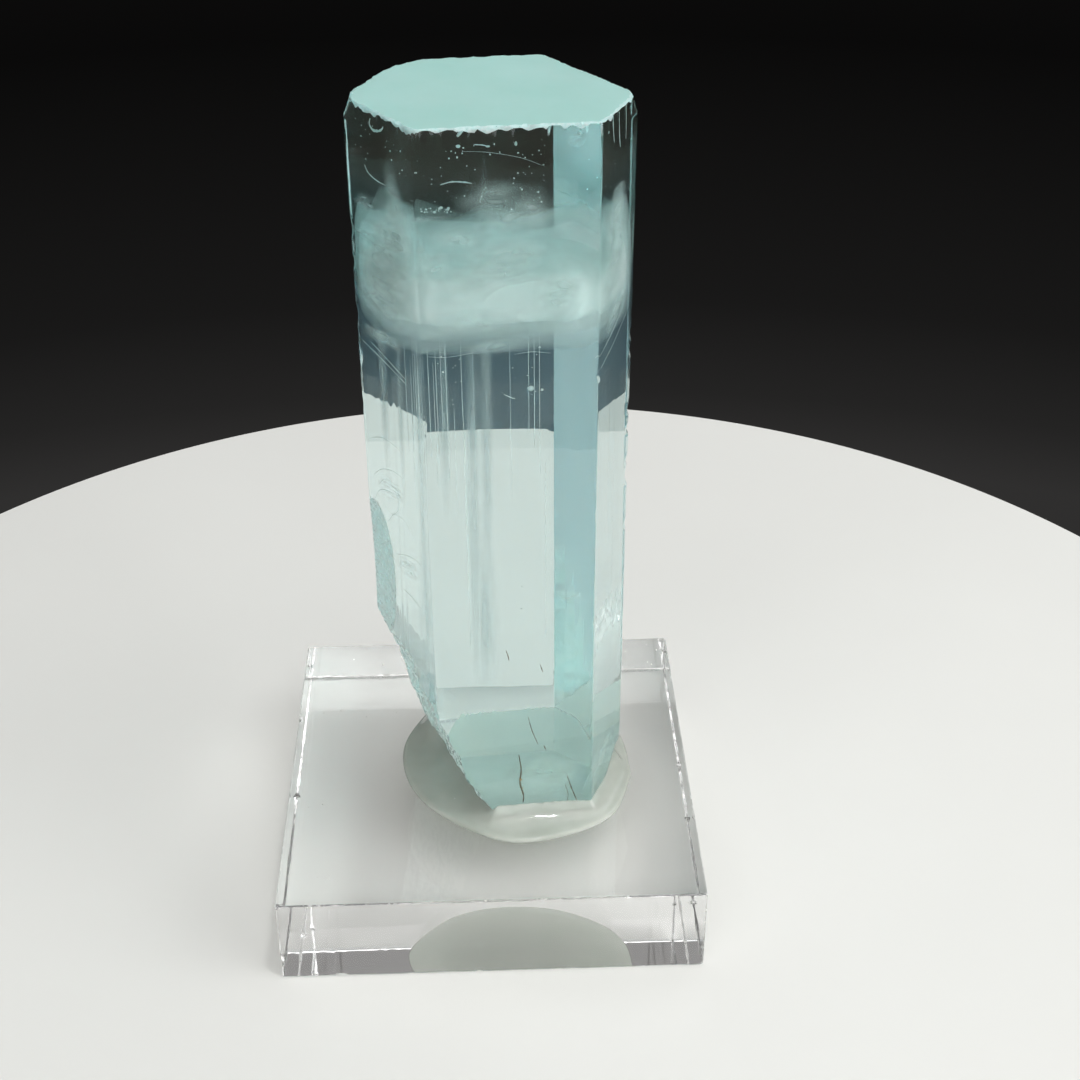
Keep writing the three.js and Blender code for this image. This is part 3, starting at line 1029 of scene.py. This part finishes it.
def darkNeedle():
    g = Graph("brown needle")
    tone = g.ramp(g.grain(4, 3), (0.3, (0.05, 0.035, 0.02)), (0.7, (0.22, 0.13, 0.05)))
    return g.finish(g.solid(Base_Color=tone, Roughness=0.5, Normal=g.bump(g.grain(12, 2), 0.4, 0.02)))


def rustStain():
    g = Graph("rust stain")
    tone = g.ramp(g.grain(6, 4), (0.3, (0.30, 0.14, 0.03)), (0.7, (0.62, 0.42, 0.16)))
    return g.finish(g.solid(Base_Color=tone, Roughness=0.7, Normal=g.bump(g.grain(14, 2), 0.5, 0.02)))


def keptInside(points, inset=0.18, clear=1.5):
    # anything that reaches past a face or the broken corner is pushed back into the crystal
    points = np.array(points)
    b = breaks["corner"]
    into = np.array(b["into"]) / np.linalg.norm(b["into"])
    short = clear - (points - b["at"]) @ into
    points += np.clip(short, 0, None)[:, None] * into
    for face in range(6):
        out = outward(face)
        past = (points[:, :2] - crystalAxis) @ out - crystal["faces"][face] + inset
        points[:, :2] -= np.clip(past, 0, None)[:, None] * out
    points[:, 2] = np.clip(points[:, 2], crystalFoot + inset, crystalTop - inset)
    return points


def leafMesh(name, leaves):
    points, faces = joined([made[:2] for made in leaves])
    mesh = meshFrom(name, keptInside(points), faces)
    fades = sum((made[2] for made in leaves), [])
    mesh.attributes.new("inside", "FLOAT", "POINT").data.foreach_set("value", fades)
    return mesh


def buildSpecks():
    specks = [lump(behind(*spot[:4]), spot[4], k) for k, spot in enumerate(marks["specks"])]
    row = marks["speckRow"]
    rng = random.Random(4)
    for k in range(row["count"]):
        share = rng.random()
        along = row["from"][0] + share * (row["to"][0] - row["from"][0])
        height = row["from"][1] + share * (row["to"][1] - row["from"][1]) + rng.uniform(-0.22, 0.12)
        spot = behind(row["face"], along, height, row["deep"])
        specks.append(lump(spot, rng.uniform(*row["radius"]), 100 + k))
    for k, (face, along, height, depth, count, radius) in enumerate(marks["speckFields"]):
        for n in range(count):
            spot = behind(face, rng.uniform(*along), rng.uniform(*height), rng.uniform(*depth))
            specks.append(lump(spot, rng.uniform(*radius), 200 + 100 * k + n))
    addPiece("pale_specks", meshFrom("pale_specks", *joined(specks)), [paleGlint()])
    stains = [lump(behind(*spot[:4]), spot[4], 50 + k) for k, spot in enumerate(marks["rust"])]
    addPiece("rust_stains", meshFrom("rust_stains", *joined(stains)), [rustStain()])


def buildThreads(name, rows, material):
    made = []
    for k, (face, depth, radius, path) in enumerate(rows):
        made.append(thread([behind(face, along, height, depth) for along, height in path], radius, seed=k))
    addPiece(name, meshFrom(name, *joined(made)), [material])


def buildTubes():
    made = []
    for k, (face, along, low, high, depth, radius) in enumerate(marks["tubes"]):
        x, y, _ = behind(face, along, (low + high) / 2, depth)
        path = [(x, y, low - 1.5), (x, y, (low + high) / 2), (x, y, high - 1.5)]
        made.append(thread(path, radius, seed=k, jitter=0.1))
    addPiece("growth_tubes", meshFrom("growth_tubes", *joined(made)), [hollowTube()])


def buildColumns():
    leaves = []
    for k, ((x, y), width, low, high) in enumerate(marks["columns"]):
        centre = np.array([x, y, (low + high) / 2])
        up = np.array([marks["columnLean"] * (low - high) / 2, 0, (high - low) / 2])
        leaves.append(leaf(centre, np.array([width / 2, 0, 0]), up, 20 + k, curl=0.01))
    haze = wispMaterial("growth column", (0.62, 0.68, 0.68), 0.5, (1, 1, 0.05), 2.0, ragged=False)
    addPiece("growth_columns", leafMesh("growth_columns", leaves), [haze])


def buildVeils(name, rows, material):
    leaves = []
    for k, (face, along, height, depth, halfWidth, halfHeight, turn) in enumerate(rows):
        centre = behind(face, along, height, depth)
        side = np.array([-outward(face)[1], outward(face)[0], 0])
        back = np.array([*-outward(face), 0])
        c, s = math.cos(math.radians(turn)), math.sin(math.radians(turn))
        across = halfWidth * (c * side + s * np.array([0, 0, 1]) * 0.6 + 0.25 * back)
        up = halfHeight * (c * np.array([0, 0, 1]) - s * side * 0.6 - 0.3 * back)
        leaves.append(leaf(centre, across, up, k))
    addPiece(name, leafMesh(name, leaves), [material])


buildSpecks()
buildThreads("hair_cracks", marks["threads"], paleGlint())
buildThreads("foot_needles", marks["needles"], darkNeedle())
buildTubes()
buildColumns()
lacy = wispMaterial("healed crack", (0.90, 0.98, 0.98), 0.42, (0.7, 0.7, 2.4), 1.3)
buildVeils("healed_cracks", marks["veils"], lacy)
cloudy = wispMaterial("cloud wisps", (0.92, 1.0, 0.98), 0.42, (0.5, 0.5, 1.8), 0.6, ragged=False)
buildVeils("cloud_wisps", marks["wisps"], cloudy)
milky = wispMaterial("foot bloom", (0.88, 1.0, 0.92), 0.35, (0.5, 0.5, 1), 0.6, ragged=False)
buildVeils("foot_bloom", marks["bloom"], milky)
print("inclusions placed")


block = {
    "step": 0.3,  # spacing of the points on its faces
    "bevel": 0.09,
    "rough": 0.16,  # how much wider the lower back edge is torn
    "wander": 0.05,  # how unevenly the sawn edges were broken
    "sunk": 0.015,  # how far the glue reaches into it, so that the two join without a skin of air
    "chips": 2,  # along each edge
    "chipSize": (0.05, 0.22),
    "ior": 1.491,
}


def clearAcrylic():
    # cast acrylic: glassy, with fine handling scratches
    g = Graph("clear acrylic")
    scratches = g.ramp(g.grain(0.9, 3, 0.7, (0.3, 4.0, 1), 2.0), (0.62, 0.0), (0.72, 0.07))
    return g.finish(g.solid(Base_Color=(1, 1, 1, 1), Roughness=scratches, IOR=block["ior"],
                            Transmission_Weight=1.0))


def sawnEdge():
    # the broken edges: torn by the saw and rubbed down by hand
    g = Graph("sawn acrylic edge")
    torn = g.grain(3.5, 5, 0.7)
    tone = g.ramp(torn, (0.35, (0.85, 0.86, 0.87)), (0.65, (1, 1, 1)))
    dull = g.ramp(torn, (0.4, 0.05), (0.7, 0.4))
    return g.finish(g.solid(Base_Color=tone, Roughness=dull, IOR=block["ior"], Transmission_Weight=0.82,
                            Normal=g.bump(torn, 0.6, 0.05)))


def lineSpots(length):
    fine = [0, 0.04, 0.08, 0.12, 0.17, 0.24, 0.33, 0.45]
    step = block["step"]
    middle = np.arange(fine[-1] + step, length - fine[-1] - step / 2, step).tolist()
    return fine + middle + [length - f for f in reversed(fine)]


def noiseAlong(along, scale, y, z):
    return np.array([noise.noise((at * scale, y, z)) for at in along])


def edgeWidth(along, edge):
    wander = noiseAlong(along, 0.6, edge * 3.7, 0) + 0.5 * noiseAlong(along, 3.1, edge, 4)
    return block["bevel"] + block["wander"] * wander


def buildBlock():
    low, high = (np.array(corner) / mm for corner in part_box("display_block"))
    size = high - low
    spots = [lineSpots(length) for length in size]
    index = {}
    points, faces = [], []

    def pointAt(i, j, k):
        if (i, j, k) not in index:
            index[(i, j, k)] = len(points)
            points.append((spots[0][i], spots[1][j], spots[2][k]))
        return index[(i, j, k)]

    for axis in range(3):
        a, b = (axis + 1) % 3, (axis + 2) % 3
        for end in (0, len(spots[axis]) - 1):
            for u in range(len(spots[a]) - 1):
                for v in range(len(spots[b]) - 1):
                    quad = []
                    for du, dv in ((0, 0), (1, 0), (1, 1), (0, 1)):
                        at = [0, 0, 0]
                        at[axis], at[a], at[b] = end, u + du, v + dv
                        quad.append(pointAt(*at))
                    faces.append(quad if end else quad[::-1])
    points = np.array(points)
    near = np.minimum(points, size - points)
    inward = np.where(points < size / 2, 1.0, -1.0)
    shift = np.zeros_like(points)
    chipped = np.zeros(len(points))
    rng = random.Random(9)
    for run in range(3):  # the four edges along each axis
        a, b = (run + 1) % 3, (run + 2) % 3
        onFace = (near[:, a] * near[:, b] == 0) & (near[:, a] + near[:, b] < 0.5)
        for sa in (1, -1):
            for sb in (1, -1):
                chosen = np.where(onFace & (inward[:, a] == sa) & (inward[:, b] == sb))[0]
                along = points[chosen, run]
                width = edgeWidth(along, run * 4 + sa + sb * 0.5)
                for _ in range(block["chips"]):
                    at, chip = rng.uniform(0, size[run]), rng.uniform(*block["chipSize"])
                    width += chip * np.sqrt(np.clip(1 - ((along - at) / (1.4 * chip)) ** 2, 0, 1))
                if (run, sa, sb) == (0, -1, 1):  # the lower back edge is the roughest
                    width += block["rough"] * (1 + 0.6 * noiseAlong(along, 2.3, 7, 1))
                width = np.clip(width, 0.03, 0.44)
                depth = np.clip(width - (near[chosen, a] + near[chosen, b]), 0, None) / 2
                shift[chosen, a] += depth * sa
                shift[chosen, b] += depth * sb
                chipped[chosen] = np.maximum(chipped[chosen], depth)
    mesh = meshFrom("acrylic_block", points + shift + low, faces, smooth=False)
    kinds = [1 if min(chipped[index] for index in face) > 0.004 else 0 for face in faces]
    piece = addPiece("acrylic_block", mesh, [clearAcrylic(), sawnEdge()], "display_block")
    mesh.polygons.foreach_set("material_index", kinds)
    piece.data.shade_smooth()
    piece.data.set_sharp_from_angle(angle=math.radians(20))
    print("block", len(faces))


buildBlock()


glue = {
    "outline": [(10.7, -2.5), (10.3, 1.8), (8.6, 5.6), (5.0, 8.8), (0.8, 9.6), (-2.8, 8.2), (-5.2, 5.0),
                (-6.6, 1.2), (-5.9, -3.1), (-3.2, -6.7), (1.2, -9.3), (5.6, -8.8), (9.1, -6.6)],
    "centre": (2.1, -1.6),
    "rim": 0.34,
    "rimRound": 0.32,
    "height": 0.95,  # of the puddle where it meets the crystal
    "climb": 0.42,  # and of the last little bit that creeps up the crystal
    "climbWidth": 0.45,
    "around": 200,
    "rings": 46,
    "ior": 1.48,
    "overlap": 0.03,  # how far it reaches into the crystal, so that the two join without a skin of air
    "heap": 3.2,  # how much higher it stands behind the crystal
    "heapReach": 1.3,
    "heapGrows": (0.5, 4.5),  # from front to back
    # two tones and how clear it is: on top, and where it meets the block and the crystal; the second is a
    # lighter, milkier copy of the same glue, painted light
    "skin": ((0.68, 0.71, 0.65), (0.78, 0.81, 0.75), 0.65),
    "bondedLit": ((0.82, 0.88, 0.81), (0.90, 0.94, 0.88), 0.1),
}


def milkyGlue(name, dark, light, clear):
    # hot glue, partly clear and partly milky
    g = Graph(name)
    cloudy = g.grain(0.35, 2)
    tone = g.ramp(cloudy, (0.3, dark), (0.7, light))
    surface = g.solid(Base_Color=tone, Roughness=g.ramp(cloudy, (0.4, 0.015), (0.7, 0.05)), IOR=glue["ior"],
                      Transmission_Weight=clear)
    return g.finish(surface)


def footDistance(x, y, z):
    # how far outside the crystal's foot a point lies
    far = np.full(x.shape, -99.0)
    for face in range(6):
        n = outward(face)
        past = (x - crystalAxis[0]) * n[0] + (y - crystalAxis[1]) * n[1]
        far = np.maximum(far, past - crystal["faces"][face])
    b = breaks["corner"]
    into = np.array(b["into"]) / np.linalg.norm(b["into"])
    gone = -((x - b["at"][0]) * into[0] + (y - b["at"][1]) * into[1] + (z - b["at"][2]) * into[2])
    return np.maximum(far, (gone + 0.5) / np.hypot(into[0], into[1]))


def heapUp(x, y, far):
    # the glue heaped against the back faces
    grown = smoothstep(*glue["heapGrows"], y)
    fall = np.exp(-np.clip(far, 0, None) / glue["heapReach"])
    return glue["heap"] * grown * fall * smoothstep(-2, -0.3, far)


def buildGlue():
    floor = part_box("display_block")[1][2] / mm
    outline = smoothPath(glue["outline"] + glue["outline"][:1], 24)[:-1] - glue["centre"]
    angles = np.unwrap(np.arctan2(outline[:, 1], outline[:, 0]))
    reach = np.hypot(*outline.T)
    turns = np.linspace(0, 2 * math.pi, glue["around"], endpoint=False) + angles[0]
    radius = np.interp(turns, np.append(angles, angles[0] + 2 * math.pi), np.append(reach, reach[0]))
    way = np.column_stack([np.cos(turns), np.sin(turns)])
    rings = []
    under = np.full(len(turns), floor - block["sunk"])
    for inset in (1.2, 0.06):
        rings.append(np.column_stack([glue["centre"] + way * (radius - inset)[:, None], under]))
    for tilt in np.linspace(-20, 75, 7):  # the rounded rim
        c, s = math.cos(math.radians(tilt)), math.sin(math.radians(tilt))
        out = radius - glue["rimRound"] * (1 - c)
        z = floor + glue["rim"] * (0.26 + 0.76 * s)
        rings.append(np.column_stack([glue["centre"] + way * out[:, None], np.full(len(turns), z)]))
    for share in np.linspace(1, 0, glue["rings"], endpoint=False)[1:] ** 0.85:
        spots = glue["centre"] + way * ((radius - glue["rimRound"] * 0.75) * share)[:, None]
        past = footDistance(*spots.T, floor + 1)
        far = np.clip(past, 0, None)
        edge = (radius - glue["rimRound"] * 0.75) * (1 - share)
        climb = edge / np.maximum(edge + far, 0.05)
        z = glue["rim"] + (glue["height"] - glue["rim"]) * climb ** 1.6 * np.minimum(edge / 2.0, 1) ** 0.6
        z += glue["climb"] * np.exp(-far / glue["climbWidth"]) * np.minimum(edge / 0.8, 1)
        z += heapUp(*spots.T, past) * np.minimum(edge / 1.5, 1)
        z += 0.03 * noiseAt(np.column_stack([spots * 0.5, z]), 3, 2)
        rings.append(np.column_stack([spots, floor + z]))
    total = len(turns)
    points = np.concatenate(rings + [[rings[-1].mean(0)], [rings[0].mean(0)]])
    faces = ringFaces(total, len(rings))
    hub = total * len(rings)
    for k in range(total):
        n = (k + 1) % total
        faces.append([hub - total + k, hub - total + n, hub])
        faces.append([n, k, hub + 1])
    mesh = meshFrom("glue_puddle", points, faces)
    # the underside gets the lighter, milkier copy of the glue: painted light
    paintedLightUnderside = [1 if max(face) < 2 * total or hub + 1 in face else 0 for face in faces]
    mesh.polygons.foreach_set("material_index", paintedLightUnderside)
    finishes = [milkyGlue("milky glue", *glue["skin"]), milkyGlue("bonded glue", *glue["bondedLit"])]
    piece = addPiece("glue_puddle", mesh, finishes, "glue_pad")
    space = simplePrism("foot", -glue["overlap"], crystalFoot + glue["overlap"], floor + 20)
    foot = addObject("foot", space)
    for finish in finishes:
        foot.data.materials.append(finish)
    # the join with the crystal gets the lighter copy too: painted light
    foot.data.polygons.foreach_set("material_index", [1] * len(foot.data.polygons))
    breakAway(foot, back=-glue["overlap"], kind=1)
    carve(piece, foot)
    piece.data.shade_smooth()
    piece.data.set_sharp_from_angle(angle=math.radians(35))
    print("glue", len(piece.data.polygons))


buildGlue()


def dustMaterial():
    g = Graph("dust")
    tone = g.ramp(g.grain(5, 2), (0.3, (0.45, 0.42, 0.38)), (0.7, (0.9, 0.9, 0.88)))
    return g.finish(g.solid(Base_Color=tone, Roughness=0.9))


def buildDust():
    # a few crumbs of dust on the block's top
    low, high = (np.array(corner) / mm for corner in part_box("display_block"))
    rng = random.Random(21)
    crumbs = []
    while len(crumbs) < 46:
        x, y = rng.uniform(low[0] + 0.6, high[0] - 0.6), rng.uniform(low[1] + 0.6, high[1] - 0.6)
        if math.hypot(x - glue["centre"][0], y - glue["centre"][1]) > 12:
            radius = rng.uniform(0.02, 0.06)
            crumbs.append(lump(np.array([x, y, high[2] + radius * 0.5]), radius, len(crumbs)))
    addPiece("dust", meshFrom("dust", *joined(crumbs)), [dustMaterial()])


buildDust()
print("block, glue and dust placed")

cycles = bpy.context.scene.cycles
cycles.max_bounces = 13
cycles.transmission_bounces = 13
cycles.glossy_bounces = 8
cycles.transparent_max_bounces = 48
cycles.volume_bounces = 5
cycles.blur_glossy = 0.0
cycles.use_light_tree = False
bpy.context.scene.view_settings.view_transform = "Standard"
